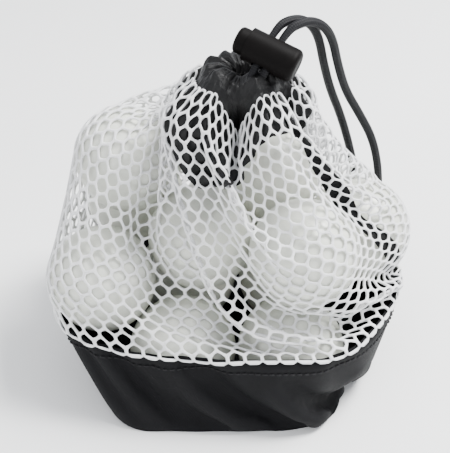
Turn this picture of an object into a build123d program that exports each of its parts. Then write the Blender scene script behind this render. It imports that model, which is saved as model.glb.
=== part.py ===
from build123d import *
import math
import os

# Mesh ball bag, filled with twelve balls and cinched shut.  Millimetres, +Z up.
# The bag stands on z = 0, +X is its right side and -Y its front.
os.makedirs("parts", exist_ok=True)

# ---------------------------------------------------------------- balls
ball_diameter = 42.67
ball_gap = 0.1            # lift of each ball off what it rests on

# ---------------------------------------------------------------- bag cloth
base_half_width = 50.0    # half the side of the square woven bottom
base_corner_radius = 16.0
base_height = 36.0        # woven band, floor to the net seam
floor_thickness = 0.8
band_thickness = 0.8
net_thickness = 1.0
net_clearance = 1.2       # between the net's inner face and the balls
seat_gap = 0.3            # between loose pieces that lie against each other
tape_width = 9.0
tape_thickness = 0.6
tape_angle = 4.0          # degrees round the bag, from +X
tape_above_seam = 4.0
tape_below_neck = 9.0
tape_gap = 0.1            # inside the net's inner face

# ---------------------------------------------------------------- neck and collar
neck_x = 2.0
neck_y = 5.0
neck_radius = 18.0        # inside of the net where it is gathered
neck_rise = 13.33         # from the topmost ball to the net's top edge
collar_thickness = 1.6
skirt_drop = 29.0         # lower edge of the lining, below the net's top edge
skirt_spread = 0.5625     # radius of that edge, in ball diameters
casing_rise = 0.5         # the casing sits this much above the net's top edge
casing_height = 10.5
mouth_radius = 4.5
ring_inset = 6.5          # from the casing's side in to the drawstring's loop
casing_fillet = 3.5

# ---------------------------------------------------------------- cord
cord_diameter = 3.6
strand_gap = 0.2          # between the two strands in the lock
cord_gap = 0.3            # round a cord in a channel or a slot
slit_ease = 0.2           # the casing's slit is this much wider than its channel
bend_room_below = 1.2     # from the barrel's side to the strands' corners
bend_room_above = 1.4
bend_share = 0.45         # of the shorter run beside a corner, taken up by its bend
ring_spare = 1.3          # between the strands and the loop's two ends
ring_exit_angle = -80.0   # degrees round the neck, where the strands come out
knot_size = 1.5           # radius of the knot, in cord diameters
knot_hold = 0.9           # the strands end this far up the knot, in its radii

# ---------------------------------------------------------------- cord lock
lock_from_exit = Vector(6.8, 5.33, 14.45)   # from where the strands leave the casing
barrel_bore = 5.05
barrel_wall = 1.25
barrel_back = 8.2         # from the cords to the open end
barrel_front = 11.8       # from the cords to the closed end
barrel_cap = 1.6
barrel_fillet = 2.2
button_travel = 3.5
lock_travel = 2.5         # along the straight stretch of the strands
button_clearance = 0.05
button_head = 4.6         # stands out of the barrel
button_fillet = 1.6
button_web = 1.2          # solid end past the slot, against the spring
slot_gap = 0.3            # each side of the cords in a slot
spring_wire = 0.5
spring_radius = 3.6
spring_turns = 3.0        # pressed solid they still leave the button its travel
spring_ease = 0.05        # between the spring and what it bears on
barrel_direction = Vector(0.88, -0.356, -0.309).normalized()
strand_direction = Vector(0.466, 0.553, 0.691)   # through the lock, away from the bag

ball_radius = ball_diameter / 2
cord_radius = cord_diameter / 2
cord_spacing = cord_diameter + strand_gap
cords_half = cord_spacing / 2 + cord_radius
knot_radius = knot_size * cord_diameter


def save(shape, node):
    export_step(shape, "parts/" + node + ".step")


# ---------------------------------------------------------------- the pile of balls
# Each ball is given its place in plan, in ball diameters, and is dropped
# straight down on those before it.
plan = [
    (-0.51, -0.58),
    (0.51, -0.58),
    (-0.51, 0.58),
    (0.53, 0.57),
    (-1.26, -0.28),
    (-0.34, 0.00),
    (-1.05, 1.05),
    (1.17, 0.33),
    (-0.05, 1.40),
    (0.60, -0.45),
    (0.33, 0.80),
    (-1.02, 0.42),
]


def drop(x, y, below):
    height = floor_thickness + ball_gap + ball_radius
    reach = ball_diameter + ball_gap
    for other in below:
        rise = reach**2 - (x - other.X) ** 2 - (y - other.Y) ** 2
        if rise > 0:
            height = max(height, other.Z + math.sqrt(rise))
    return Vector(x, y, height)


balls = []
for across, along in plan:
    balls.append(drop(across * ball_diameter, along * ball_diameter, balls))
for number, centre in enumerate(balls, start=1):
    save(Pos(centre) * Sphere(ball_radius), f"ball_{number:02d}")

# ---------------------------------------------------------------- the cloth's outline
# The cloth is the tight skin over the balls, the bottom's four corners and
# the neck.  Each is a disc of one radius thickened by another.
corner = base_half_width - base_corner_radius
supports = [(centre, 0.0, ball_radius + net_clearance) for centre in balls]
for corner_x in (-corner, corner):
    for corner_y in (-corner, corner):
        supports.append((Vector(corner_x, corner_y, 0), base_corner_radius, 0.0))
neck_height = max(centre.Z for centre in balls) + ball_radius + neck_rise
supports.append((Vector(neck_x, neck_y, neck_height), neck_radius, 0.0))

turn_step = 10            # degrees between the directions in which the skin is felt for
lift_step = 5
lowest_lift = -70
grazing = 0.05            # directions nearer than this to square across a ray are passed over
section_points = 36

skin = []                 # outward directions and how far the skin stands along each
for turn in range(0, 360, turn_step):
    for lift in range(lowest_lift, 90, lift_step):
        level = math.cos(math.radians(lift))
        normal = Vector(level, 0, math.sin(math.radians(lift))).rotate(Axis.Z, turn)
        reach = max(place.dot(normal) + disc * level + ball for place, disc, ball in supports)
        skin.append((normal, reach))


def skin_radius(angle, height, offset):
    # From the neck's axis, how far out the skin is at this angle and height.
    ray = Vector(math.cos(angle), math.sin(angle), 0)
    point = Vector(neck_x, neck_y, height)
    crossings = []
    for normal, reach in skin:
        facing = normal.dot(ray)
        if facing > grazing:
            crossings.append((reach + offset - point.dot(normal)) / facing)
    return min(crossings)


def skin_point(angle, height, offset):
    radius = skin_radius(angle, height, 0) + offset
    return Vector(neck_x + radius * math.cos(angle), neck_y + radius * math.sin(angle), height)


def skin_section(height, offset):
    points = []
    for step in range(section_points):
        angle = 2 * math.pi * step / section_points
        radius = skin_radius(angle, height, offset)
        points.append((neck_x + radius * math.cos(angle), neck_y + radius * math.sin(angle), height))
    return make_face(Spline(*points, periodic=True))


def skin_solid(heights, offset):
    return loft([skin_section(height, offset) for height in heights], ruled=True)


def spread(low, high, count):
    return [low + (high - low) * step / (count - 1) for step in range(count)]


band_heights = spread(0, base_height, 6)
net_heights = spread(base_height, neck_height, 14)

save(skin_solid(band_heights, band_thickness) - skin_solid(band_heights, 0), "base_band")
floor_outline = skin_section(0, -seat_gap)
save(extrude(floor_outline, floor_thickness), "base_floor")
save(skin_solid(net_heights, net_thickness) - skin_solid(net_heights, 0), "net_body")

# The seam tape lies inside the net, down its right side.
tape_low = base_height + tape_above_seam
tape_high = neck_height - tape_below_neck
tape_shell = skin_solid(net_heights, -tape_gap) - skin_solid(net_heights, -tape_gap - tape_thickness)
tape_slab = Box(
    2 * ball_diameter + base_half_width, tape_width, tape_high - tape_low,
    align=(Align.MIN, Align.CENTER, Align.MIN))
save(tape_shell & (Pos(neck_x, neck_y, tape_low) * Rot(0, 0, tape_angle) * tape_slab), "seam_tape")

# ---------------------------------------------------------------- collar
# A satin sleeve: a skirt inside the net, a waist, and a gathered casing on top.
waist_outer = neck_radius - seat_gap
skirt_low = neck_height - skirt_drop
skirt_radius = skirt_spread * ball_diameter
casing_radius = neck_radius
casing_low = neck_height + casing_rise
casing_top = casing_low + casing_height
ring_radius = casing_radius - ring_inset
ring_height = casing_low + casing_height / 2
sleeve = Polyline(
    (skirt_radius - collar_thickness, skirt_low),
    (skirt_radius, skirt_low),
    (waist_outer, neck_height - 2 * collar_thickness),
    (waist_outer, casing_low),
    (casing_radius, casing_low),
    (casing_radius, casing_top),
    (mouth_radius, casing_top),
    (mouth_radius, casing_low),
    (waist_outer - collar_thickness, casing_low),
    (waist_outer - collar_thickness, neck_height - 2 * collar_thickness),
    close=True,
)
collar = revolve(Plane.XZ * make_face(sleeve), Axis.Z)
top_rims = collar.edges().group_by(Axis.Z)[-1]
collar = fillet(top_rims, casing_fillet)
channel = Pos(0, 0, ring_height) * Torus(ring_radius, cord_radius + cord_gap)
collar = Pos(neck_x, neck_y, 0) * (collar - channel)

# ---------------------------------------------------------------- cord lock
# Worked in its own frame: local Z runs along the barrel to its closed end,
# local X the way the strands pass through it.
exit_turn = math.radians(ring_exit_angle)
exit_direction = Vector(math.cos(exit_turn), math.sin(exit_turn), 0)
exit_point = Vector(neck_x, neck_y, ring_height) + exit_direction * ring_radius
lock_centre = exit_point + lock_from_exit
side = barrel_direction.cross(strand_direction).normalized()
through = side.cross(barrel_direction).normalized()
lock_frame = Plane(origin=lock_centre, x_dir=through, z_dir=barrel_direction)
barrel_radius = barrel_bore + barrel_wall


def slot(low, high):
    # A round-ended slot along local Z, cut right through along local X.
    width = cord_diameter + 2 * slot_gap
    outline = Pos(0, (low + high) / 2) * SlotOverall(high - low, width, rotation=90)
    return extrude(Plane.YZ * outline, 2 * barrel_radius, both=True)


barrel = Pos(0, 0, -barrel_back) * Cylinder(
    barrel_radius, barrel_back + barrel_front, align=(Align.CENTER, Align.CENTER, Align.MIN))
closed_rim = barrel.edges().filter_by(GeomType.CIRCLE).sort_by(Axis.Z)[-1]
barrel = fillet(closed_rim, barrel_fillet)
bore_depth = barrel_back + barrel_front - barrel_cap
barrel -= Pos(0, 0, -barrel_back) * Cylinder(
    barrel_bore, bore_depth, align=(Align.CENTER, Align.CENTER, Align.MIN))
barrel -= slot(-cords_half - slot_gap, cords_half + slot_gap)
save(lock_frame * barrel, "lock_barrel")

button_radius = barrel_bore - button_clearance
button_inner = cords_half + slot_gap + button_web
button_length = barrel_back + button_head + button_inner
button = Pos(0, 0, button_inner - button_length) * Cylinder(
    button_radius, button_length, align=(Align.CENTER, Align.CENTER, Align.MIN))
head_rim = button.edges().filter_by(GeomType.CIRCLE).sort_by(Axis.Z)[0]
button = fillet(head_rim, button_fillet)
button -= slot(-cords_half - slot_gap - button_travel, cords_half + slot_gap)
save(lock_frame * button, "lock_button")

spring_room = barrel_front - barrel_cap - button_inner - spring_wire - 2 * spring_ease
spring_path = Helix(pitch=spring_room / spring_turns, height=spring_room, radius=spring_radius)
spring_section = Plane(origin=spring_path @ 0, z_dir=spring_path % 0) * Circle(spring_wire / 2)
spring = sweep(spring_section, path=spring_path)
save(lock_frame * Pos(0, 0, button_inner + spring_wire / 2 + spring_ease) * spring, "lock_spring")

# ---------------------------------------------------------------- drawstring and strands
ring_opening = 2 * math.degrees((cords_half + ring_spare) / ring_radius)
ring_arc = CenterArc(
    (neck_x, neck_y, ring_height), ring_radius, ring_exit_angle + ring_opening / 2, 360 - ring_opening)
ring_plane = Plane(origin=ring_arc @ 0, z_dir=ring_arc % 0)
save(sweep(ring_plane * Circle(cord_radius), path=ring_arc), "drawstring_loop")

# The two strands, each from the casing, through the lock, over the top and
# down behind the bag to the knot.  Their corners are given first from the
# middle of the lock.  Those lower down are given by their degrees round the
# neck, their height as a share of the neck's, and the clear space between
# cord and net.  Near the lock the right strand keeps steps of its own, in
# cord diameters, from the left one.
left_near_lock = [
    Vector(8.0, 10.4, 8.6), Vector(13.2, 13.8, 7.4), Vector(17.4, 17.0, 3.0), Vector(20.2, 20.2, -3.8),
    Vector(22.4, 23.8, -14.2)]
left_down_bag = [
    (35.0, 0.926, 14.6), (36.8, 0.802, 10.3), (37.0, 0.661, 4.5), (37.9, 0.512, 0.9), (40.0, 0.364, 5.5)]
right_steps = [
    (1.25, -0.45, -0.03), (1.32, -0.45, -0.05), (1.40, -0.43, -0.07), (1.45, -0.40, -0.07), (1.50, -0.33, 0.0)]
right_down_bag = [
    (29.3, 0.926, 18.5), (29.6, 0.818, 15.8), (28.5, 0.707, 11.5), (28.3, 0.562, 4.3), (32.3, 0.405, 5.2)]
knot_place = (41.2, 0.182, 10.9)


def down_bag(turn, share, clear):
    return skin_point(math.radians(turn), share * neck_height, net_thickness + cord_radius + clear)


def bend_radii(route):
    radii = []
    for before, here, after in zip(route, route[1:], route[2:]):
        turn = math.radians((here - before).get_angle(after - here))
        run = min((here - before).length, (after - here).length)
        radii.append(bend_share * run / math.tan(turn / 2))
    return radii


def build_strand(node, across, near_lock, lower, end):
    offset = barrel_direction * across
    below = lock_centre - through * (barrel_radius + bend_room_below) + offset
    above = lock_centre + through * (barrel_radius + lock_travel + bend_room_above) + offset
    corners = [lock_centre + step for step in near_lock] + [down_bag(*place) for place in lower]
    route = [exit_point + offset, below, above] + corners + [end]
    path = FilletPolyline(*route, radius=bend_radii(route))
    strand = sweep(Plane(origin=path @ 0, z_dir=path % 0) * Circle(cord_radius), path=path)
    save(strand, node)
    print(node, "corners", [tuple(round(value, 1) for value in corner) for corner in corners])
    print(node, "length", round(path.length, 1), "tightest bend", round(min(bend_radii(route)), 1),
          "volume ratio", round(strand.volume / (path.length * math.pi * cord_radius**2), 3))


right_near_lock = []
for left_step, right_step in zip(left_near_lock, right_steps):
    right_near_lock.append(left_step + Vector(*right_step) * cord_diameter)
knot_centre = down_bag(*knot_place)
knot_top = knot_centre + Vector(0, 0, knot_radius * knot_hold)
half_apart = Vector(cord_spacing / 2, 0, 0)
build_strand("strand_left", -cord_spacing / 2, left_near_lock, left_down_bag, knot_top - half_apart)
build_strand("strand_right", cord_spacing / 2, right_near_lock, right_down_bag, knot_top + half_apart)
save(Pos(knot_centre) * Sphere(knot_radius), "cord_knot")

# The slit that lets both strands out of the casing.
slit_width = cord_diameter + 2 * cord_gap + slit_ease
slit_outline = SlotOverall(cord_spacing + slit_width, slit_width)
slit_end = lock_centre - through * (barrel_radius + bend_room_below)
slit_frame = Plane(origin=exit_point, x_dir=barrel_direction, z_dir=slit_end - exit_point)
save(collar - extrude(slit_frame * slit_outline, 2 * casing_height), "collar")
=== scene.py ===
# %% [markdown]
# # A mesh ball bag
# A small drawstring bag of white net on a black woven base, full of white
# balls and cinched shut with a push-button cord lock.  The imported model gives
# every size and place; this script makes the cloth, the cords and the finish
# around it.  All shapes are worked out with numpy in millimetres and turned
# into metres when a mesh is made.

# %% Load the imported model
import math

import bmesh
import bpy
import numpy as np
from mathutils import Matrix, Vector


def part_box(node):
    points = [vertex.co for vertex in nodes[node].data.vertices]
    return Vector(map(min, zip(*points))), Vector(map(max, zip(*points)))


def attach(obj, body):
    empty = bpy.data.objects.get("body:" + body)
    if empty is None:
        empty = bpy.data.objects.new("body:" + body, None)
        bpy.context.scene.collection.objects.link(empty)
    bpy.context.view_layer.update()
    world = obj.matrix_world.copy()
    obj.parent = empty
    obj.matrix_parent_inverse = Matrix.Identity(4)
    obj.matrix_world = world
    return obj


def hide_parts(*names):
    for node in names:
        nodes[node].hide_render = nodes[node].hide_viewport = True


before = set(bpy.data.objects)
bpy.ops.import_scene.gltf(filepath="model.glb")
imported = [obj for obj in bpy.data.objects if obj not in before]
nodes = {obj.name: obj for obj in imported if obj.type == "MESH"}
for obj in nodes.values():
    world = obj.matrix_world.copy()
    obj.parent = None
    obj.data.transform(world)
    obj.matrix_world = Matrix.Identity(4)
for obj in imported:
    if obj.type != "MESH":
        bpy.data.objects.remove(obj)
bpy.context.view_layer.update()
MM = 0.001

# %% [markdown]
# ## The camera
# A short telephoto, looking down on the bag from the front.  It stands about
# as far off as a hand-held camera would, so the near side looks larger.

# %% Camera
CAMERA_ELEVATION = math.radians(34)
CAMERA_DISTANCE = 0.42
CAMERA_AIM = np.array([-0.0048, 0.0, 0.0645])
CAMERA_LENS = 83.1
backwards = np.array([0, -math.cos(CAMERA_ELEVATION), math.sin(CAMERA_ELEVATION)])
camera = bpy.data.objects.new("camera", bpy.data.cameras.new("camera"))
camera.data.lens = CAMERA_LENS
camera.data.sensor_width = 36
camera.data.clip_start = 0.01
camera.location = CAMERA_AIM + backwards * CAMERA_DISTANCE
camera.rotation_euler = (math.pi / 2 - CAMERA_ELEVATION, 0, 0)
bpy.context.scene.collection.objects.link(camera)
bpy.context.scene.camera = camera

# %% [markdown]
# ## From a grid of points to a mesh
# Almost every piece here is a surface worked out on a grid: rows one way,
# columns the other.  One function turns such a grid into a mesh, with a UV
# map that says where each point was on the flat cloth or along the cord.

# %% The grid helper
def new_piece(name, points, faces, uvs=None, flip_to_outside=False):
    """A mesh object from points in mm and faces as index rows.  With flip_to_outside the faces are
    turned if the volume they enclose, the sum of each triangle's tetrahedron with the origin, is negative."""
    if flip_to_outside:
        first, second, third = (points[faces[:, k]] for k in (0, 1, 2))
        volume = np.einsum("ij,ij->", first, np.cross(second, third))
        if faces.shape[1] == 4:
            volume += np.einsum("ij,ij->", first, np.cross(third, points[faces[:, 3]]))
        if volume < 0:
            faces = faces[:, ::-1]
            uvs = None if uvs is None else uvs[:, ::-1]
    mesh = bpy.data.meshes.new(name)
    mesh.from_pydata((points * MM).tolist(), [], faces.tolist())
    mesh.polygons.foreach_set("use_smooth", np.ones(len(faces), bool))
    if uvs is not None:
        mesh.uv_layers.new(name="cloth").data.foreach_set("uv", uvs.astype(np.float32).ravel())
    mesh.update()
    piece = bpy.data.objects.new(name, mesh)
    bpy.context.scene.collection.objects.link(piece)
    return piece


def grid_faces(rows, columns, wrap):
    """Quads that join each grid point to the next along and across, and the UVs of their corners."""
    along, across = np.meshgrid(np.arange(rows - 1), np.arange(columns if wrap else columns - 1), indexing="ij")
    corners = [(0, 0), (0, 1), (1, 1), (1, 0)]
    faces = np.stack([(along + a) * columns + (across + b) % columns for a, b in corners], -1)
    uvs = np.stack([np.stack([across + b, along + a], -1) for a, b in corners], -2)
    return faces.reshape(-1, 4), uvs.reshape(-1, 4, 2).astype(float)


def surface(name, grid, wrap=False, uv_size=(1.0, 1.0), closed=False, ring=False):
    """A piece from a grid of points.  uv_size is the cloth's size in mm, so the UVs are in mm too.  With closed, the
    first and last rows are drawn in to their middle points, which makes a tube or a ball whole.  With ring, the last
    row is joined to the first."""
    if closed:
        ends = [np.repeat(grid[k].mean(0)[None], grid.shape[1], 0)[None] for k in (0, -1)]
        grid = np.concatenate([ends[0], grid, ends[1]])
    if ring:
        grid = np.concatenate([grid, grid[:1]])
    rows, columns = grid.shape[:2]
    faces, uvs = grid_faces(rows, columns, wrap)
    uvs *= np.array([uv_size[0] / (columns if wrap else columns - 1), uv_size[1] / (rows - 1)])
    piece = new_piece(name, grid.reshape(-1, 3), faces, uvs, flip_to_outside=closed or ring)
    if closed or ring:
        weld(piece)
    return piece


def weld(piece, distance=1e-7):
    """Merges points that lie on each other, such as a pole's."""
    work = bmesh.new()
    work.from_mesh(piece.data)
    bmesh.ops.remove_doubles(work, verts=work.verts, dist=distance)
    work.to_mesh(piece.data)
    work.free()


# %% [markdown]
# ## The cords first
# Both ends of the drawstring come out of the collar, run side by side through
# the lock, over in a loop, and down behind the bag to a knot.  Each is a
# NURBS route; the braided tube then follows points read from it.

# %% The lock's place and the two routes
barrel_direction = np.array([0.88, -0.356, -0.309])
barrel_direction /= np.linalg.norm(barrel_direction)
strand_direction = np.array([0.466, 0.553, 0.691])
through = strand_direction - barrel_direction * (strand_direction @ barrel_direction)
through /= np.linalg.norm(through)
lock_centre = np.array([10.8, -1.0, 140.3])
neck_middle = np.array([2.0, 5.0])
ring_radius, ring_height = 11.5, 125.8
exit_turn = math.radians(-80)
exit_point = np.array([*neck_middle + ring_radius * np.array([math.cos(exit_turn), math.sin(exit_turn)]), ring_height])
CORD_DIAMETER = 3.6
CORD_SPACING = 3.8
clear_of_lock = 10.2       # from the lock's middle to the strands' corners below and above it
knot_low, knot_high = (np.array(corner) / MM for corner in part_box("cord_knot"))
knot_centre = (knot_low + knot_high) / 2
knot_top = knot_centre + np.array([0, 0, (knot_high[2] - knot_low[2]) / 2 * 0.9])
left_points = [
    (18.8, 9.4, 148.9), (24.0, 12.8, 147.7), (28.2, 16.0, 143.3), (31.0, 19.2, 136.5), (33.2, 22.8, 126.1),
    (37.2, 29.6, 111.2), (42.9, 35.6, 96.3), (48.1, 39.7, 79.4), (52.4, 44.2, 61.5), (56.1, 50.4, 43.7)]
right_points = [
    (23.3, 7.8, 148.8), (28.7, 11.2, 147.5), (33.2, 14.5, 143.0), (36.2, 17.8, 136.2), (38.6, 21.6, 126.1),
    (43.2, 28.1, 111.2), (50.3, 32.4, 98.2), (57.2, 35.0, 84.9), (61.3, 36.9, 67.5), (62.8, 43.4, 48.6)]


def route_points(side, points):
    """The corners of one strand: out of the collar, below and above the lock, then its own list, then the knot."""
    offset = barrel_direction * CORD_SPACING / 2 * side
    below, above = (lock_centre + through * way * clear_of_lock + offset for way in (-1, 1))
    middle = [np.array(point) for point in points]
    return [exit_point + offset, below, above] + middle + [knot_top + np.array([side * CORD_SPACING / 2, 0, 0])]


def read_route(points):
    """The smooth line of a NURBS spline of order 3 through the given corners, as points in mm."""
    curve = bpy.data.curves.new("route", "CURVE")
    curve.dimensions = "3D"
    curve.resolution_u = 24
    spline = curve.splines.new("NURBS")
    spline.points.add(len(points) - 1)
    spline.points.foreach_set("co", np.concatenate([np.array(points), np.ones((len(points), 1))], 1).ravel())
    spline.order_u = 3
    spline.use_endpoint_u = True
    holder = bpy.data.objects.new("route", curve)
    mesh = bpy.data.meshes.new_from_object(holder)
    line = np.empty(len(mesh.vertices) * 3)
    mesh.vertices.foreach_get("co", line)
    bpy.data.objects.remove(holder)
    bpy.data.meshes.remove(mesh)
    return line.reshape(-1, 3)


def even_line(line, spacing, closed=False):
    """The same line with its points evenly spaced along it."""
    if closed:
        line = np.concatenate([line, line[:1]])
    travelled = np.concatenate([[0], np.cumsum(np.linalg.norm(np.diff(line, axis=0), axis=1))])
    count = max(4, round(travelled[-1] / spacing))
    stops = np.linspace(0, travelled[-1], count + 1)
    if closed:
        stops = stops[:-1]
    return np.stack([np.interp(stops, travelled, line[:, k]) for k in range(3)], 1), travelled[-1]


def ring_frames(line, reference, closed=False):
    """For each point of a line, two directions square to it: one is square to the reference as well."""
    if closed:
        tangent = np.roll(line, -1, 0) - np.roll(line, 1, 0)
    else:
        tangent = np.gradient(line, axis=0)
    tangent /= np.linalg.norm(tangent, axis=1, keepdims=True)
    across = np.cross(tangent, reference)
    across /= np.linalg.norm(across, axis=1, keepdims=True)
    return across, np.cross(tangent, across)


BRAID_CARRIERS = 8
BRAID_PITCH = 7.0         # length of one turn of a carrier round the cord
BRAID_DEPTH = 0.22
LOCK_PINCH, PINCH_REACH = 0.36, 11.5    # how much thinner in radius the lock squeezes a strand, and how far


def braided_tube(name, line, length, diameter, reference, closed=False, pinch=0.0):
    """A tube about a line.  Its radius swells and sinks where two families of carriers, wound opposite ways, pass over
    and under each other: the product of two sine waves of (turns round + distance) and (turns round - distance)."""
    across, upward = ring_frames(line, reference, closed)
    turn = np.linspace(0, 2 * math.pi, 28, endpoint=False)
    distance = np.linspace(0, length, len(line))[:, None] * 2 * math.pi / BRAID_PITCH
    weave = np.sin((turn + distance) * BRAID_CARRIERS / 2) * np.sin((turn - distance) * BRAID_CARRIERS / 2)
    radius = diameter / 2 - BRAID_DEPTH * (0.5 - 0.5 * weave) - pinch
    grid = line[:, None] + radius[..., None] * (
        np.cos(turn)[None, :, None] * across[:, None] + np.sin(turn)[None, :, None] * upward[:, None])
    return surface(name, grid, wrap=True, uv_size=(math.pi * diameter, length), closed=not closed, ring=closed)


cord_reference = np.array([0.64, -0.77, 0.0])
strands = {}
for node, side, points in (("strand_left", -1, left_points), ("strand_right", 1, right_points)):
    line, length = even_line(read_route(route_points(side, points)), 0.3)
    pinch = LOCK_PINCH * np.exp(-(np.linalg.norm(line - lock_centre, axis=1, keepdims=True) / PINCH_REACH) ** 4)
    strand = braided_tube("braided_" + node, line, length, CORD_DIAMETER, cord_reference, pinch=pinch)
    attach(strand, "bag")
    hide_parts(node)
    strands[node] = (strand, line, length)
    print(node, "is", round(length, 1), "mm long, highest", round(line[:, 2].max(), 1))

# %% [markdown]
# ## Shader maths as Python
# A socket wrapped in a small class can be added and multiplied like a number,
# and each step adds the Math node that does it.

# %% The shader helper
class Link:
    """One output socket.  Arithmetic on it adds Math nodes to its tree."""

    def __init__(self, tree, socket):
        self.tree, self.socket = tree, socket

    def node(self, kind, settings=None, **inputs):
        """Adds a node of a kind, its settings first, then its sockets' values or links.  Returns its outputs."""
        node = self.tree.nodes.new("ShaderNode" + kind)
        for name, value in (settings or {}).items():
            setattr(node, name, value)
        for name, value in inputs.items():
            socket = node.inputs[int(name[1:]) if name[1:].isdigit() else name.replace("_", " ")]
            if isinstance(value, Link):
                self.tree.links.new(value.socket, socket)
            else:
                socket.default_value = value
        return [Link(self.tree, output) for output in node.outputs]

    def maths(self, operation, first, second=0.0):
        return self.node("Math", {"operation": operation}, _0=first, _1=second)[0]

    def __add__(self, other):
        return self.maths("ADD", self, other)

    __radd__ = __add__

    def __mul__(self, other):
        return self.maths("MULTIPLY", self, other)

    __rmul__ = __mul__

    def __sub__(self, other):
        return self.maths("SUBTRACT", self, other)

    def __rsub__(self, other):
        return self.maths("SUBTRACT", other, self)

    def sine(self):
        return self.maths("SINE", self)

    def noise(self, scale, detail=3.0):
        """Noise from 0 to 1 read at this vector."""
        return self.node("TexNoise", None, Vector=self, Scale=scale, Detail=detail)[0]

    def colour(self, first, second):
        """A colour between two others, by this value."""
        return self.node("Mix", {"data_type": "RGBA"}, _0=self, _6=(*first, 1), _7=(*second, 1))[2]

    def axes(self):
        return self.node("SeparateXYZ", None, Vector=self)

    def bump(self, depth_mm):
        """A Bump normal whose height is this value times a depth in mm."""
        return self.node("Bump", None, Distance=depth_mm * MM, Height=self)[0]


def finish_named(name, **constants):
    """A new material.  Returns it, its shader node, and links for object place (metres) and cloth UV (mm)."""
    material = bpy.data.materials.new(name)
    material.use_nodes = True
    tree = material.node_tree
    shader = tree.nodes["Principled BSDF"]
    for socket, value in constants.items():
        shader.inputs[socket.replace("_", " ")].default_value = value
    places = tree.nodes.new("ShaderNodeTexCoord")
    return material, shader, Link(tree, places.outputs["Object"]), Link(tree, places.outputs["UV"])


def feed(shader, **links):
    """Joins links to the shader's sockets."""
    for socket, link in links.items():
        link.tree.links.new(link.socket, shader.inputs[socket.replace("_", " ")])


# %% [markdown]
# ## The finishes
# Black polyester satin, black woven nylon and braided cord, black moulded
# plastic, white knitted net and white ball covers.  Each gets its own grain
# at its real scale, and none is one flat colour.

# %% Braided cord
braided_cord, shader, place, cloth = finish_named("braided_cord")
shader.inputs["Specular IOR Level"].default_value = 0.16
across, along, _ = cloth.axes()
across_turns = across * (BRAID_CARRIERS / CORD_DIAMETER)
along_turns = along * (2 * math.pi / BRAID_PITCH * BRAID_CARRIERS / 2)
carriers_one = (across_turns + along_turns).sine()
carriers_two = (across_turns - along_turns).sine()
yarns = (across * 24.0 + along * 9.0).sine() * 0.25
weave = (carriers_one * carriers_two + yarns) * 0.4 + 0.5
feed(shader, Base_Color=(weave * 0.6 + place.noise(900) * 0.4).colour((0.0015, 0.0015, 0.002), (0.010, 0.010, 0.012)),
     Roughness=0.62 - weave * 0.25, Normal=weave.bump(0.16))

# %% Moulded plastic
lock_plastic, shader, place, cloth = finish_named("lock_plastic", Coat_Roughness=0.45)
shader.inputs["Specular IOR Level"].default_value = 0.06
grain = place.noise(2600, 4.0)
rubbed = place.noise(160, 3.0)
feed(shader, Base_Color=(rubbed * 0.7 + grain * 0.3).colour((0.0008, 0.0006, 0.0006), (0.004, 0.0032, 0.003)),
     Roughness=0.42 + rubbed * 0.22, Normal=(grain + rubbed * 0.3).bump(0.035))

# %% Spring steel
spring_steel, shader, place, cloth = finish_named("spring_steel", Metallic=1.0)
drawn = place.noise(1500, 2.0)
feed(shader, Base_Color=drawn.colour((0.32, 0.31, 0.30), (0.60, 0.59, 0.57)), Roughness=0.25 + drawn * 0.2,
     Normal=drawn.bump(0.01))

# %% [markdown]
# ## The knot
# The two ends are tied together in one overhand knot.  The knot's line is a
# trefoil, the shape an overhand knot takes when it is drawn up, and the same
# braided tube is carried along it.

# %% The tied knot
def trefoil(count, size):
    """A trefoil: x = sin t + 2 sin 2t, y = cos t - 2 cos 2t, z = -sin 3t, scaled to a size in mm."""
    t = np.linspace(0, 2 * math.pi, count, endpoint=False)
    line = np.stack([np.sin(t) + 2 * np.sin(2 * t), np.cos(t) - 2 * np.cos(2 * t), -1.35 * np.sin(3 * t)], 1)
    return line * size


knot_line = trefoil(220, 1.08)
knot_line = np.stack([knot_line[:, 0], knot_line[:, 2], knot_line[:, 1]], 1) + knot_centre
knot_line, knot_length = even_line(knot_line, 0.3, closed=True)
knot = braided_tube("tied_knot", knot_line, knot_length, CORD_DIAMETER * 0.94, np.array([0.0, 1.0, 0.01]), closed=True)
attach(knot, "bag")
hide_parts("cord_knot")
print("knot is", round(knot_length, 1), "mm of cord")

for node, side in (("strand_left", -1), ("strand_right", 1)):
    strand, line, length = strands[node]
    tuple(line[0] * MM)
    length * MM
    [tuple(point) for point in line[::4] * MM]
    strand.data.materials.append(braided_cord)
knot.data.materials.append(braided_cord)
for node in ("lock_barrel", "lock_button", "lock_spring", "drawstring_loop"):
    finish = {"lock_spring": spring_steel, "drawstring_loop": braided_cord}.get(node, lock_plastic)
    nodes[node].data.materials.clear()
    nodes[node].data.materials.append(finish)

# %% [markdown]
# ## The cloth's start
# The bag is one sheet of cloth closed round: a woven band at the bottom and
# net above it.  It starts as the tight skin over the balls, the base and the
# neck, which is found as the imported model's is: for many outward directions,
# how far the contents reach.

# %% What the cloth hangs on
ball_names = sorted(name for name in nodes if name.startswith("ball_"))
ball_boxes = [np.array(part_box(name)) / MM for name in ball_names]
ball_centres = np.array([box.mean(0) for box in ball_boxes])
BALL_RADIUS = (ball_boxes[0][1] - ball_boxes[0][0])[0] / 2
SEAM_HEIGHT = 36.0
NECK_HEIGHT = 120.1
BASE_HALF, BASE_CORNER = 50.0, 16.0
NECK_REACH = 22.0        # how far round the neck's axis the skin's top ring is
CLOTH_GAP = 0.9          # from a ball to the middle of the cloth on it
NECK_X, NECK_Y = neck_middle


def polar(angle, radius, height):
    """A point at an angle and a distance from the neck's upright axis."""
    return np.stack(np.broadcast_arrays(NECK_X + radius * np.cos(angle), NECK_Y + radius * np.sin(angle), height), -1)


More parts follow.
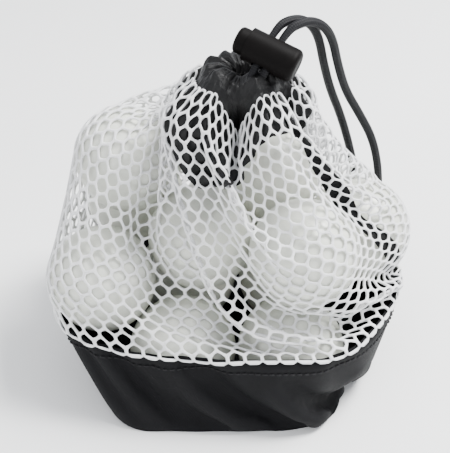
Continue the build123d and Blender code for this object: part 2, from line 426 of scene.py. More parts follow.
turns, lifts = np.meshgrid(np.radians(np.arange(0, 360, 6)), np.radians(np.arange(-75, 90, 5)), indexing="ij")
directions = np.stack([np.cos(lifts) * np.cos(turns), np.cos(lifts) * np.sin(turns), np.sin(lifts)], -1).reshape(-1, 3)
level = np.hypot(directions[:, 0], directions[:, 1])
corner = BASE_HALF - BASE_CORNER
corners = np.array([(sx * corner, sy * corner, 0) for sx in (-1, 1) for sy in (-1, 1)])
reach = np.max(np.concatenate([
    directions @ ball_centres.T + BALL_RADIUS + CLOTH_GAP,
    directions @ corners.T + BASE_CORNER * level[:, None],
    (directions @ np.array([NECK_X, NECK_Y, NECK_HEIGHT]))[:, None] + NECK_REACH * level[:, None]], 1), 1)


def skin_radius(angle, height):
    """How far the tight skin is from the axis: over all directions that face the ray, the least of
    (reach - axis point . direction) / (ray . direction)."""
    ray = np.stack([np.cos(angle), np.sin(angle), 0 * angle], -1)
    facing = ray @ directions.T
    axis = np.stack([0 * height + NECK_X, 0 * height + NECK_Y, height], -1)
    distance = (reach - axis @ directions.T) / np.where(facing > 0.05, facing, np.nan)
    return np.nanmin(distance, -1)


# %% [markdown]
# ## The gathered neck
# Drawn in, the top of the bag goes into lobes.  Between two lobes the cloth
# dips in and down, and on a lobe it domes over outwards.  Two profiles, one
# for a dip and one for a lobe's crest, are mixed round the neck.

# %% Lobes and profiles of the neck
dips = np.array([-98.0, -24.0, 6.0, 32.0, 58.0, 84.0, 110.0, 136.0, 168.0, 262.0])
lobe_sizes = np.array([1.12, 0.9, 1.0, 0.85, 0.95, 0.85, 1.0, 1.05, 1.42])
dip_depths = np.array([1.0, 0.6, 0.7, 0.8, 0.6, 0.8, 0.7, 0.7, 0.5, 1.0])
crest_steps = np.array([-27, -21, -16, -11, -5, 0, 5, 10, 16, 22, 34, 46])
crest_radii = np.array([3.6, 4.6, 8.0, 12.5, 16.5, 19.5, 23.0, 26.5, 29.5, 31.5, 36.0, 41.0])
crest_heights = np.array([128.5, 131.8, 133.6, 133.6, 131.0, 127.6, 124.4, 120.4, 115.6, 110.5, 99.5, 88.5])
dip_radii = np.array([2.6, 3.6, 7.4, 12.8, 14.8, 13.4, 12.6, 14.0, 17.5, 22.5, 32.0, 40.0])
dip_heights = np.array([127.0, 129.6, 130.8, 129.4, 124.0, 118.6, 113.6, 109.2, 105.0, 101.5, 95.0, 88.0])


def crest_share(angle):
    """1 on a lobe's crest, 0 in a deep dip: a half sine between neighbouring dips, lifted where a dip is shallow."""
    turned = (np.degrees(angle) - dips[0]) % 360 + dips[0]
    lobe = np.clip(np.searchsorted(dips, turned, side="right") - 1, 0, len(dips) - 2)
    along = (turned - dips[lobe]) / (dips[lobe + 1] - dips[lobe])
    floor = 1 - (dip_depths[lobe] * (1 - along) + dip_depths[lobe + 1] * along)
    return (floor + (1 - floor) * np.sin(np.pi * along) ** 0.9) * (1 + (lobe_sizes[lobe] - 1) * np.sin(np.pi * along))


def neck_surface(angle, step):
    """A point of the gathered neck, step mm down from the net's edge: the dip's profile, mixed towards the
    crest's by the share at that angle."""
    share = crest_share(angle)
    radius = np.interp(step, crest_steps, dip_radii)
    radius = radius + (np.interp(step, crest_steps, crest_radii) - radius) * share
    height = np.interp(step, crest_steps, dip_heights)
    height = height + (np.interp(step, crest_steps, crest_heights) - height) * np.minimum(share, 1.0)
    return polar(angle, radius, height)


def spaced_angles(curve_angles, points, count, start):
    """Angles at which a closed curve's length is shared out evenly, the first at the start angle."""
    lengths = np.linalg.norm(np.roll(points, -1, 0) - points, axis=1)
    travelled = np.concatenate([[0], np.cumsum(lengths)])
    opened = np.concatenate([curve_angles, [curve_angles[0] + 2 * np.pi]])
    offset = np.interp((start - opened[0]) % (2 * np.pi) + opened[0], opened, travelled)
    stops = offset + np.arange(count) * travelled[-1] / count
    wraps = np.floor(stops / travelled[-1])
    return np.interp(stops - wraps * travelled[-1], travelled, opened) + wraps * 2 * np.pi, travelled[-1]


COLUMNS = 144
BAND_ROWS, NET_ROWS = 12, 42
SEAM_ROW = BAND_ROWS
ROWS = BAND_ROWS + NET_ROWS + 1
TWIST = math.radians(-48)     # the neck has been turned against the base
NECK_RING_STEP = 8.0          # where on the neck's profile the columns are shared out
round_about = np.radians(np.arange(dips[0], dips[-1], 0.5))
seam_ring, base_ring = (
    polar(round_about, skin_radius(round_about, 0 * round_about + height), height) for height in (SEAM_HEIGHT, 0.0))
seam_angles, seam_length = spaced_angles(round_about, seam_ring, COLUMNS, 0.0)
base_angles, _ = spaced_angles(round_about, base_ring, COLUMNS, 0.0)
neck_angles, neck_length = spaced_angles(round_about, neck_surface(round_about, NECK_RING_STEP), COLUMNS, TWIST)
print("cloth is", round(seam_length), "mm round at the seam and", round(neck_length), "mm round in the neck's folds")

# %% [markdown]
# ## Letting the cloth settle
# The sheet is a grid of points tied by threads: round, up, and across each
# square.  Over and over, gravity moves the points, each thread pulls its two
# ends towards its own length, and the balls, the floor and the lining push
# the points out.  Threads of one group share no point, so a whole group is
# moved at once.

# %% The sheet's first shape
FULLNESS = 0.4           # of what the tight skin leaves over, the share that stays in the cloth
FOOT_HEIGHT, SHEET_TOP = 0.6, 112.0
band_rises = np.linspace(FOOT_HEIGHT, SEAM_HEIGHT, BAND_ROWS + 1)
rises = np.concatenate([band_rises, np.linspace(SEAM_HEIGHT, SHEET_TOP, NET_ROWS + 1)[1:]])
sheet = np.empty((ROWS, COLUMNS, 3))
for row, rise in enumerate(rises):
    if row <= SEAM_ROW:
        share = row / SEAM_ROW
        angle = base_angles + (seam_angles - base_angles) * share
    else:
        share = (row - SEAM_ROW) / NET_ROWS
        angle = seam_angles + (neck_angles - seam_angles) * share
    sheet[row] = polar(angle, skin_radius(angle, 0 * angle + rise) + 0.5, rise)

PINNED_STEP = 3.0        # mm down the neck's profile from one row of the sheet to the next
neck_steps = (ROWS - 1 - np.arange(ROWS)) * PINNED_STEP


def edge_step(angle):
    """How far down the neck's profile the net's top edge is sewn: up over the crests, and low in the dips."""
    return 7.0 - 9.5 * np.clip(crest_share(angle), 0, 1.1)


neck_target = np.stack([neck_surface(neck_angles, step + edge_step(neck_angles)) for step in neck_steps])
neck_hold = np.clip(1.25 - neck_steps / 18.0, 0, 1) ** 1.5
blend_in = np.clip(1.9 - neck_steps / 26.0, 0, 1)[:, None, None]
sheet += (neck_target - sheet) * blend_in

DENT_ANGLE, DENT_WIDTH, DENT_DEPTH = -42, 20, 0.15       # the front right corner of the base is pushed in
dent = np.exp(-(((np.degrees(base_angles) - DENT_ANGLE + 180) % 360 - 180) / DENT_WIDTH) ** 2)
sheet[0, :, :2] *= (1 - DENT_DEPTH * dent)[:, None]
up_lengths = np.linalg.norm(np.diff(sheet, axis=0), axis=2)
BAND_CUT, NET_CUT = 30, 25    # the cloth is cut to these percentiles of the skin's heights
band_height = np.percentile(up_lengths[:SEAM_ROW].sum(0), BAND_CUT)
net_height = np.percentile(up_lengths[SEAM_ROW:].sum(0), NET_CUT)
rest_up = np.where(np.arange(ROWS - 1) < SEAM_ROW, band_height / BAND_ROWS, net_height / NET_ROWS)
row_lengths = np.linalg.norm(np.roll(sheet, -1, 1) - sheet, axis=2).sum(1)
rest_round = (row_lengths + FULLNESS * np.clip(seam_length - row_lengths, 0, None)) / COLUMNS
rest_round[:SEAM_ROW + 1] = row_lengths[:SEAM_ROW + 1] / COLUMNS * 1.01
print("band is cut", round(band_height, 1), "mm high, net", round(net_height, 1), "mm high")


# %% The threads, in groups that share no point
ALONG_THREAD, ACROSS_SQUARE, BENDING = 0.9, 0.05, 0.4     # share of its misfit that a thread takes back


def thread_groups():
    """Index pairs, rest lengths and stiffness of each group.  A group takes every other, or every fourth, row or
    column, so that no point is in it twice."""
    index = np.arange(ROWS * COLUMNS).reshape(ROWS, COLUMNS)
    beside, beyond = np.roll(index, -1, 1), np.roll(index, -2, 1)
    across = np.broadcast_to(rest_round[:, None], index.shape)
    upward = np.broadcast_to(rest_up[:, None], (ROWS - 1, COLUMNS))
    slanted = np.hypot(upward, (across[1:] + across[:-1]) / 2)
    groups = []
    for half in (0, 1):
        groups.append((index[:, half::2], beside[:, half::2], across[:, half::2], ALONG_THREAD, False))
        groups.append((index[half:-1:2], index[half + 1::2], upward[half::2], ALONG_THREAD, False))
        groups.append((index[half:-1:2], beside[half + 1::2], slanted[half::2], ACROSS_SQUARE, False))
        groups.append((beside[half:-1:2], index[half + 1::2], slanted[half::2], ACROSS_SQUARE, False))
        columns = np.arange(COLUMNS) // 2 % 2 == half
        groups.append((index[:, columns], beyond[:, columns], 2 * across[:, columns], BENDING, True))
        rows = np.flatnonzero(np.arange(ROWS - 2) // 2 % 2 == half)
        groups.append((index[rows], index[rows + 2], upward[rows] + upward[rows + 1], BENDING, True))
    return [(a.ravel(), b.ravel(), rest.ravel().copy(), stiff, only_push) for a, b, rest, stiff, only_push in groups]


groups = thread_groups()
floating = np.ones((ROWS, COLUMNS))
floating[0] = 0
floating[-1] = 0
weight = floating.ravel()
FALL = 0.02              # mm a point falls in one step
DRIFT_KEPT = 0.92        # of a point's last move, kept in the next step
SEAM_HOLD = 0.08         # how firmly the seam stays at its place
CONTACT_DRAG = 0.8       # of a touching point's move, lost


def settle(points, steps, passes):
    """Moves the points by their last move, damped, and gravity, then ties them again.  Each thread's two ends move
    along it by its stretch times its stiffness, shared by their weights."""
    now = points.reshape(-1, 3).copy()
    before = now.copy()
    held = now.copy()
    target = neck_target.reshape(-1, 3)
    hold = np.repeat(neck_hold, COLUMNS)[:, None] * 0.5
    seam = slice(SEAM_ROW * COLUMNS, (SEAM_ROW + 1) * COLUMNS)
    for step in range(steps):
        drift = (now - before) * DRIFT_KEPT
        before = now.copy()
        now = now + drift * weight[:, None]
        now[:, 2] -= FALL * weight
        for _ in range(passes):
            for a, b, rest, stiff, only_push in groups:
                gap = now[b] - now[a]
                length = np.sqrt(np.einsum("ij,ij->i", gap, gap)) + 1e-9
                pull = stiff * (length - rest) / length
                if only_push:
                    pull = np.minimum(pull, 0)
                share_a, share_b = weight[a], weight[b]
                pull = (pull / np.maximum(share_a + share_b, 1))[:, None] * gap
                now[a] += pull * share_a[:, None]
                now[b] -= pull * share_b[:, None]
            now += (target - now) * hold
            now[seam] += (held[seam] - now[seam]) * SEAM_HOLD
            away = now[:, None] - ball_centres
            distance = np.linalg.norm(away, axis=2)
            inside = np.clip(BALL_RADIUS + CLOTH_GAP - distance, 0, None)
            now += (away / distance[..., None] * inside[..., None]).sum(1) * weight[:, None]
            now[:, 2] = np.maximum(now[:, 2], held[:COLUMNS, 2].min())
        now[weight == 0] = held[weight == 0]
        touching = inside.max(1) > 0
        before[touching] += (now[touching] - before[touching]) * CONTACT_DRAG
    return now.reshape(ROWS, COLUMNS, 3)


SETTLING_STEPS = 320
settled = settle(sheet, SETTLING_STEPS, 4)
stretch = np.linalg.norm(np.diff(settled, axis=0), axis=2) / rest_up[:, None]
print("threads upward are", round(float(np.median(stretch)), 3),
      "of their length, at most", round(float(stretch.max()), 2))

# %% [markdown]
# ## Reading the settled cloth
# Every cloth piece is laid on the settled sheet: its points are found by
# their column round and their row up, which need not be whole numbers.

# %% Points and outward directions anywhere on the sheet
def catmull(count, place, wraps):
    """The four nearest of count rows to each fractional place, and the Catmull-Rom cubic weight of each."""
    whole = np.floor(place).astype(int)
    part = (place - whole)[:, None]
    weights = [
        ((-part + 2) * part - 1) * part / 2, ((3 * part - 5) * part * part + 2) / 2,
        ((-3 * part + 4) * part + 1) * part / 2, (part - 1) * part * part / 2]
    picks = [whole + k for k in (-1, 0, 1, 2)]
    picks = [pick % count if wraps else np.clip(pick, 0, count - 1) for pick in picks]
    return picks, weights


def on_sheet(column, row, out=0.0):
    """Points at (column, row) of the settled sheet, moved outwards by a distance in mm."""
    column, row = np.broadcast_arrays(np.asarray(column, float), np.asarray(row, float))
    shape = column.shape

    def read(c, r):
        columns, column_weights = catmull(COLUMNS, c, True)
        rows, row_weights = catmull(ROWS, r, False)
        total = 0
        for pick_row, weigh_row in zip(rows, row_weights):
            for pick_column, weigh_column in zip(columns, column_weights):
                total = total + settled[pick_row, pick_column] * weigh_row * weigh_column
        return total

    c, r = column.ravel(), np.clip(row.ravel(), 0, ROWS - 1.001)
    nudge = 0.25
    round_way = read(c + nudge, r) - read(c - nudge, r)
    up_way = read(c, np.minimum(r + nudge, ROWS - 1.001)) - read(c, np.maximum(r - nudge, 0))
    outward = np.cross(round_way, up_way)
    outward /= np.linalg.norm(outward, axis=1, keepdims=True) + 1e-12
    away = np.broadcast_to(out, shape).reshape(-1, 1)
    return (read(c, r) + outward * away).reshape(*shape, 3)


# %% [markdown]
# ## The net
# The net is knitted polyester with rounded six-sided holes, in rows that are
# each shifted by half a hole.  Every hole is one loop of yarn: twelve points
# round the hole, ringed above and below by the loop's shoulders, and joined
# to the next loops on the shared border.

# %% One loop and the lattice
CELLS_ROUND = 66
NET_THICKNESS = 0.95
ROW_SPACING = 4.3
NET_OVERLAP = 0.5           # rows of the sheet that the net reaches down over the band
cell_rows = int((net_height + NET_OVERLAP * rest_up[-1]) / ROW_SPACING)
CELL_WIDTH = 6.45
BOTTOM_EDGE, TOP_EDGE = 1.6, 2.3      # where the first and the last row of loops are hemmed, from their middles
half_width = CELL_WIDTH / 2
tall = (half_width ** 2 + ROW_SPACING ** 2) / 2 / ROW_SPACING
short = tall - half_width ** 2 / ROW_SPACING
border = np.array([(half_width, -short), (half_width, 0), (half_width, short), (half_width / 2, (tall + short) / 2),
                   (0, tall), (-half_width / 2, (tall + short) / 2)])
border = np.concatenate([border, -border])
distance = np.linalg.norm(border, axis=1, keepdims=True)
hole = (border * 0.40 + border / distance * 1.16) * np.array([1.04, 0.96])
shoulder = hole + (border - hole) * 0.42


def flat_area(outline):
    """The area inside a flat outline: half the sum of x times the next y less y times the next x."""
    x, y = outline.T
    return abs(x @ np.roll(y, -1) - y @ np.roll(x, -1)) / 2


YARN_SHARE = 1 - flat_area(hole) / flat_area(border)      # what the holes leave of the net
print("holes are", round(np.ptp(hole[:, 0]), 2), "by", round(np.ptp(hole[:, 1]), 2), "mm;", CELLS_ROUND * cell_rows)


def net_mesh():
    """All loops at once.  Border points that neighbouring loops share are merged by their rounded places."""
    rows, cells = np.meshgrid(np.arange(cell_rows), np.arange(CELLS_ROUND), indexing="ij")
    centres = np.stack([(cells + 0.5 * (rows % 2)) * CELL_WIDTH, rows * ROW_SPACING], -1).reshape(-1, 1, 2)
    circumference = CELLS_ROUND * CELL_WIDTH
    rings = [(border, 0.40, 0.0), (shoulder, 0.5, 0.5), (hole, 0.0, 1.0), (shoulder, -0.5, 0.5), (border, -0.40, 0.0)]
    top_edge = (cell_rows - 1) * ROW_SPACING + TOP_EDGE
    flat, layer = [], []
    for ring, rise, inset in rings:
        flat.append(centres + ring)
        flat[-1][..., 1] = np.clip(flat[-1][..., 1], inset - BOTTOM_EDGE, top_edge - 0.8 * inset)
        layer.append(np.full(flat[-1].shape[:2], rise))
    flat, layer = np.concatenate(flat, 1), np.concatenate(layer, 1)
    key = np.round(np.stack([flat[..., 0] % circumference, flat[..., 1], layer * 10], -1).reshape(-1, 3), 2)
    key[:, 0] = np.where(key[:, 0] >= circumference - 0.005, 0, key[:, 0])
    unique, index = np.unique(key, axis=0, return_inverse=True)
    index = index.reshape(-1, len(rings), 12)
    near, far = index[:, :-1], index[:, 1:]
    faces = np.stack([near, np.roll(near, -1, 2), np.roll(far, -1, 2), far], -1).reshape(-1, 4)
    top, under = index[:, 0], index[:, -1]
    edges = np.sort(np.stack([top, np.roll(top, -1, 1)], -1).reshape(-1, 2), 1)
    _, first, times = np.unique(edges, axis=0, return_index=True, return_counts=True)
    lone = first[times == 1]
    corners = (top, under, np.roll(under, -1, 1), np.roll(top, -1, 1))
    walls = np.stack([corner.ravel() for corner in corners], -1)[lone]
    faces = np.concatenate([faces, walls])
    column = unique[:, 0] / circumference * COLUMNS
    row = SEAM_ROW - NET_OVERLAP + (unique[:, 1] + BOTTOM_EDGE) / rest_up[-1]
    points = on_sheet(column, row, unique[:, 2] / 10 * NET_THICKNESS)
    lift = np.clip(1 - (row - SEAM_ROW) / 1.5, 0, 1)
    points += (on_sheet(column, row, unique[:, 2] / 10 * NET_THICKNESS + 1.1) - points) * lift[:, None]
    uvs = unique[faces.ravel(), :2].reshape(-1, 4, 2).copy()
    wide = np.ptp(uvs[..., 0], axis=1) > circumference / 2
    uvs[wide, :, 0] += np.where(uvs[wide, :, 0] < circumference / 2, circumference, 0)
    return points, faces, uvs


net_points, net_faces, net_uvs = net_mesh()
net = new_piece("white_net", net_points, net_faces, net_uvs)
print("net has", 2 * len(net_faces), "triangles")

# %% The net's finish
white_net, shader, place, cloth = finish_named(
    "white_net", Sheen_Weight=0.4, Sheen_Roughness=0.5, Subsurface_Weight=0.25, Subsurface_Scale=0.002)
shader.inputs["Subsurface Radius"].default_value = (1, 1, 1)
across, along, _ = cloth.axes()
yarn = (across * 16.0 + (along * 5.0).sine() * 1.4).sine() * (along * 15.0 + across * 4.0).sine()
fuzz = cloth.noise(3.0, 4.0)
soiling = place.noise(35.0, 2.0)
feed(shader, Base_Color=(yarn * 0.16 + fuzz * 0.4 + soiling * 0.4).colour((0.74, 0.745, 0.75), (0.93, 0.93, 0.935)),
     Roughness=0.42 + fuzz * 0.25, Normal=(yarn * 0.5 + fuzz).bump(0.10))
net.data.materials.append(white_net)
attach(net, "bag")
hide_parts("net_body")

# %% [markdown]
# ## The woven band and the floor
# The lower part is one piece of black woven cloth with a folded hem at its
# top and a row of stitches along the hem.  The same cloth makes the floor.

# %% Band
def band_grid():
    """The band's outside from the floor up to the hem, over its edge, and down its inside to the floor again.  The
    hem is a swelling near the top, and close to the floor the wall rounds under."""
    upward = np.linspace(0, 1, 46)
    hem = 0.35 * np.exp(-((upward - 0.93) / 0.05) ** 4)
    under = 0.9 * np.clip(1 - upward / 0.06, 0, 1) ** 2
    column = np.arange(0, COLUMNS, 0.25)[None]
    outside = on_sheet(column, (upward * SEAM_ROW)[:, None], (0.3 + hem - under)[:, None])
    inside = on_sheet(column, (upward * SEAM_ROW)[::-1, None], np.full((46, 1), -0.4))
    outside[..., 2] = np.maximum(outside[..., 2], 0.05)
    inside[..., 2] = np.maximum(inside[..., 2], 0.9)
    return np.concatenate([outside, inside])


band = surface("woven_band", band_grid(), wrap=True, uv_size=(seam_length, 2 * band_height), ring=True)
woven_nylon, shader, place, cloth = finish_named("woven_nylon")
shader.inputs["Specular IOR Level"].default_value = 0.1
across, along, _ = cloth.axes()
threads = (across * 9.0).sine() * (along * 9.0).sine()
slubs = cloth.noise(0.9, 5.0)
creases = place.noise(55, 3.0)
shade = threads * 0.15 + slubs * 0.4 + creases * 0.35
feed(shader, Base_Color=shade.colour((0.002, 0.002, 0.0023), (0.011, 0.011, 0.0125)),
     Roughness=0.50 + slubs * 0.2, Normal=(threads * 0.5 + slubs * 0.5 + creases * 1.2).bump(0.14))
band.data.materials.append(woven_nylon)
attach(band, "bag")
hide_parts("base_band")


# %% Stitches
def stitch_row(name, row, out, pitch=2.6, thread=0.32, every=0.62):
    """A row of stitches: each is a short six-sided thread, its ends dipped into the cloth.  All stitches are worked
    out at once: points = place along + a hump of sin(pi t) outwards + the thread's own circle."""
    count = int(seam_length / pitch)
    t = np.linspace(0, 1, 7)
    turn = np.linspace(0, 2 * np.pi, 6, endpoint=False)
    start = np.arange(count)[:, None] * COLUMNS / count
    column = start + t[None] * COLUMNS / count * every
    hump = np.sin(np.pi * t)[None] * 0.30 - 0.12
    centre = on_sheet(column, row, out + hump)
    ahead = np.gradient(centre, axis=1)
    ahead /= np.linalg.norm(ahead, axis=2, keepdims=True)
    outward = on_sheet(column, row, out + 1) - on_sheet(column, row, out)
    sideways = np.cross(ahead, outward)
    sideways /= np.linalg.norm(sideways, axis=2, keepdims=True)
    points = centre[:, :, None] + thread * (np.cos(turn)[:, None] * sideways[:, :, None] + np.sin(turn)[:, None]
                                            * np.cross(sideways, ahead)[:, :, None])
    index = np.arange(count * 7 * 6).reshape(count, 7, 6)
    near, far = index[:, :-1], index[:, 1:]
    faces = np.stack([near, np.roll(near, -1, 2), np.roll(far, -1, 2), far], -1).reshape(-1, 4)
    caps = np.concatenate([np.stack([index[:, e, a], index[:, e, b], index[:, e, c], index[:, e, d]], -1)
                           for e, quads in ((0, ((0, 5, 4, 3), (0, 3, 2, 1))), (6, ((0, 1, 2, 3), (0, 3, 4, 5))))
                           for a, b, c, d in quads])
    return new_piece(name, points.reshape(-1, 3), np.concatenate([faces, caps]))


stitches = stitch_row("hem_stitches", SEAM_ROW * 0.86, 0.55)
black_thread, shader, place, cloth = finish_named("black_thread")
shader.inputs["Specular IOR Level"].default_value = 0.12
ply = place.noise(2200, 2.0)
feed(shader, Base_Color=ply.colour((0.004, 0.004, 0.004), (0.022, 0.022, 0.024)), Roughness=0.4 + ply * 0.25,
     Normal=ply.bump(0.05))
stitches.data.materials.append(black_thread)
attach(stitches, "bag")


# %% Floor of the bag
def floor_grid():
    """The bag's floor: rings from the middle out to the band's foot, a top and an underside."""
    foot = on_sheet(np.arange(0, COLUMNS, 0.5), np.zeros(COLUMNS * 2), -0.45)
    middle = foot.mean(0)
    share = np.linspace(0.02, 1, 26)[:, None, None] ** 0.8
    ring = middle + (foot - middle) * share
    wrinkle = 0.12 * np.sin(ring[..., 0] * 0.35 + 1.0) * np.sin(ring[..., 1] * 0.28)
    upper, lower = ring.copy(), ring.copy()
    upper[..., 2] = 0.78 + wrinkle * 0.3
    lower[..., 2] = 0.22 + wrinkle
    return np.concatenate([upper, lower[::-1]])


bag_floor = surface("bag_floor", floor_grid(), wrap=True, uv_size=(300, 100), closed=True)
bag_floor.data.materials.append(woven_nylon)
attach(bag_floor, "bag")
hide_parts("base_floor")

# %% [markdown]
# ## The seam tape
# The net is one strip closed by a seam, and a black woven tape covers that
# seam on the inside.  It lies just under the net along one column of the
# sheet, from the band up to the collar.

# %% Seam tape
TAPE_COLUMN, TAPE_WIDTH, TAPE_THICKNESS = 0.8, 9.0, 0.5


def tape_grid():
    """A flat ring of points across the tape, thin at its two edges, carried up one column of the sheet."""
    turn = np.linspace(0, 2 * np.pi, 24, endpoint=False)
    across = np.sign(np.cos(turn)) * np.abs(np.cos(turn)) ** 0.4 * TAPE_WIDTH / 2
    thick = np.sign(np.sin(turn)) * np.abs(np.sin(turn)) ** 0.6 * TAPE_THICKNESS / 2
    row = np.linspace(SEAM_ROW - 1, ROWS - 5, 160)[:, None]
    per_column = np.interp(row, np.arange(ROWS), rest_round)
    wander = 0.4 * np.sin(row * 0.7)
    return on_sheet(TAPE_COLUMN + (across + wander) / per_column, row, -0.95 + thick)


tape = surface("seam_tape_strip", tape_grid(), wrap=True, uv_size=(2 * TAPE_WIDTH, net_height), closed=True)
binding_tape, shader, place, cloth = finish_named("binding_tape")
across, along, _ = cloth.axes()
shader.inputs["Specular IOR Level"].default_value = 0.1
ribs = (along * 8.0).sine()
warp = (across * 12.0).sine()
lint = cloth.noise(1.5, 4.0)
feed(shader, Base_Color=(ribs * 0.2 + lint * 0.6 + 0.1).colour((0.002, 0.002, 0.002), (0.010, 0.010, 0.011)),
     Roughness=0.5 + lint * 0.2, Normal=(ribs * 0.7 + warp * 0.3 + lint * 0.4).bump(0.12))
tape.data.materials.append(binding_tape)
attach(tape, "bag")
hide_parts("seam_tape")

# %% [markdown]
# ## The satin collar
# A sleeve of black satin lines the neck inside the net and rises above it as
# the casing of the drawstring.  Drawn in, it makes soft billows where the
# net has its lobes, and fine sharp pleats that run to the mouth.

# %% Collar
LINING_DEPTH, PLEAT_HEIGHT = 15.0, 3.4
TONGUE_ANGLE, TONGUE_WIDTH, TONGUE_DEPTH = 234, 26, 24    # the lining hangs lower at the front left


def collar_grid():
    """Rows from the lining's lower edge up under the net, over the casing and into the mouth.  Below the net's edge
    it is the settled sheet moved inwards.  Above, it is the neck's own surface with pleats: a sharpened sine round
    the neck that grows towards the mouth and fades out at the net's edge."""
    column = np.arange(0, COLUMNS, 0.3)
    angle = np.interp(column, np.arange(COLUMNS + 1), np.append(neck_angles, neck_angles[0] + 2 * np.pi))
    front_left = ((np.degrees(angle) - TONGUE_ANGLE + 180) % 360 - 180) / TONGUE_WIDTH
    depth = LINING_DEPTH + TONGUE_DEPTH * np.exp(-np.abs(front_left) ** 1.5) + 1.2 * np.sin(5 * angle)
    share = np.linspace(1, 0, 30)[:, None]
    below = depth * share
    row = ROWS - 1.05 - below / PINNED_STEP
    under_net = on_sheet(np.broadcast_to(column, below.shape), row, -1.15 + 0 * below)
    edge = edge_step(angle)[None] - 0.8
    steps = edge + (crest_steps[0] - edge) * np.linspace(0, 1, 46)[:, None]
    wobble = 0.5 * np.sin(3 * angle + 1.0) + 0.35 * np.sin(7 * angle)
    wave = np.abs(np.sin(3.5 * angle + 0.5 + 1.2 * wobble)) ** 0.6
    second = np.abs(np.sin(8 * angle + 1.3 + 2.0 * wobble)) ** 0.8
    strength = PLEAT_HEIGHT * np.interp(-steps, [0, 4, 10, 16, 22, 27], [0.0, 0.35, 0.85, 1.0, 0.6, 0.3])
    strength = strength * np.clip((edge - steps) / 5, 0, 1)
    pleat = strength * (wave - 0.6 + 0.28 * (second - 0.6))
    above = neck_surface(angle[None], steps)
    outward = above[..., :2] - neck_middle
    outward /= np.linalg.norm(outward, axis=-1, keepdims=True)
    pull_in = -1.15 * np.clip(1 + (steps - edge) / 6, 0, 1)
    above[..., :2] += outward * (pull_in + pleat * 0.75)[..., None]
    above[..., 2] += pleat * 0.8
    return np.concatenate([under_net, above])


COLLAR_CLOTH = (neck_length * 1.3, 58)
collar = surface("satin_collar_cloth", collar_grid(), wrap=True, uv_size=COLLAR_CLOTH)
thicken = collar.modifiers.new("thickness", "SOLIDIFY")
thicken.thickness = 0.35 * MM
thicken.offset = -1
satin_collar, shader, place, cloth = finish_named(
    "satin_collar", Coat_Weight=0.10, Coat_Roughness=0.22, Anisotropic=0.4)
shader.inputs["Specular IOR Level"].default_value = 0.2
across, along, _ = cloth.axes()
threads = (along * 14.0).sine() * 0.5 + (across * 6.0).sine() * 0.2
puckers = cloth.noise(0.22, 4.0)
sheen_patches = place.noise(140, 3.0)
feed(shader, Base_Color=(sheen_patches * 0.7 + threads * 0.1).colour((0.0008, 0.0008, 0.0009), (0.005, 0.0048, 0.005)),
     Roughness=0.30 + sheen_patches * 0.22, Normal=(threads * 0.12 + puckers * 3.0).bump(0.25))
collar.data.materials.append(satin_collar)
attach(collar, "bag")
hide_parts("collar")

# %% [markdown]
# ## The balls
# Each ball has 332 shallow round dimples, spread evenly by the sunflower
# rule: equal steps in height, and a turn of the golden angle each time.

# %% Balls
def dimpled_ball(turn_one, turn_two):
    """A sphere by height angle and turn.  Inside a dimple the radius sinks by a cosine bowl of the angle from its
    middle.  Two turns of the whole pattern make each ball different."""
    count, reach, sink = 332, math.asin(1.75 / BALL_RADIUS), 0.16
    number = np.arange(count) + 0.5
    height = 1 - 2 * number / count
    golden = number * math.pi * (3 - math.sqrt(5))
    spread = np.sqrt(1 - height ** 2)
    middles = np.stack([spread * np.cos(golden), spread * np.sin(golden), height], -1)
    lift = np.linspace(-np.pi / 2, np.pi / 2, 100)[1:-1, None]
    turn = np.linspace(0, 2 * np.pi, 190, endpoint=False)[None]
    rays = np.stack(np.broadcast_arrays(np.cos(lift) * np.cos(turn), np.cos(lift) * np.sin(turn), np.sin(lift)), -1)
    c, s = math.cos(turn_one), math.sin(turn_one)
    first = np.array([[c, -s, 0], [s, c, 0], [0, 0, 1]])
    c, s = math.cos(turn_two), math.sin(turn_two)
    second = np.array([[1, 0, 0], [0, c, -s], [0, s, c]])
    closest = (rays.reshape(-1, 3) @ (middles @ first @ second).T).max(1)
    nearest = np.arccos(np.clip(closest, -1, 1)).reshape(rays.shape[:2])
    bowl = 0.5 + 0.5 * np.cos(np.pi * np.clip(nearest / reach, 0, 1))
    return rays * (BALL_RADIUS - sink * bowl)[..., None]


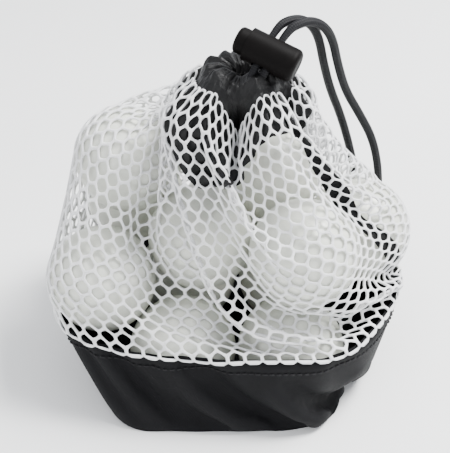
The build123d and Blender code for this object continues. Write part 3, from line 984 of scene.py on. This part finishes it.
ball_cover, shader, place, cloth = finish_named(
    "ball_cover", Coat_Weight=0.35, Coat_Roughness=0.2, Subsurface_Weight=0.15, Subsurface_Scale=0.003)
shader.inputs["Subsurface Radius"].default_value = (1, 0.9, 0.8)
scuffs = place.noise(420, 5.0)
yellowing = place.noise(28, 2.0)
feed(shader, Base_Color=(yellowing * 0.75 + scuffs * 0.25).colour((0.72, 0.735, 0.665), (0.63, 0.645, 0.565)),
     Roughness=0.32 + scuffs * 0.18, Normal=scuffs.bump(0.03))
for number, (name, centre) in enumerate(zip(ball_names, ball_centres)):
    ball = surface("dimpled_" + name, dimpled_ball(1.7 * number, 0.9 + 2.3 * number) + centre, wrap=True, closed=True)
    ball.data.materials.append(ball_cover)
    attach(ball, "bag")
    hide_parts(name)

# %% [markdown]
# ## The cloth's sizes
# The net's yarn area, in square metres, is worked out: the share the holes leave, times the net's width round and its
# height.

YARN_SHARE * CELLS_ROUND * CELL_WIDTH * cell_rows * ROW_SPACING * MM ** 2

# %% [markdown]
# ## The setting
# A plain pale sheet to stand on, one large soft light from the right and
# above, a weaker one from the left, and an even pale sky.

# %% Floor and light
ground = new_piece("ground", np.array([(-1500.0, -1500, 0), (1500, -1500, 0), (1500, 1500, 0), (-1500, 1500, 0)]),
                   np.array([[0, 1, 2, 3]]))
paper, shader, place, cloth = finish_named("pale_paper")
mottle = place.noise(9, 3.0)
feed(shader, Base_Color=mottle.colour((0.86, 0.865, 0.855), (0.90, 0.905, 0.895)), Roughness=0.7 + mottle * 0.1)
ground.data.materials.append(paper)

world = bpy.data.worlds.new("even_sky")
world.use_nodes = True
world.node_tree.nodes["Background"].inputs["Color"].default_value = (0.93, 0.95, 1.0, 1)
world.node_tree.nodes["Background"].inputs["Strength"].default_value = 1.45
bpy.context.scene.world = world


def soft_light(name, place, size, power):
    """A square light at a place in metres, turned towards the bag's middle."""
    light = bpy.data.objects.new(name, bpy.data.lights.new(name, "AREA"))
    light.data.shape, light.data.size, light.data.energy = "SQUARE", size, power
    light.location = place
    light.rotation_euler = (Vector((0, 0, 0.06)) - Vector(place)).to_track_quat("-Z", "Y").to_euler()
    bpy.context.scene.collection.objects.link(light)


soft_light("key", (0.5, 0.1, 0.9), 0.45, 30)
soft_light("fill", (-0.6, -0.8, 0.7), 0.8, 4)
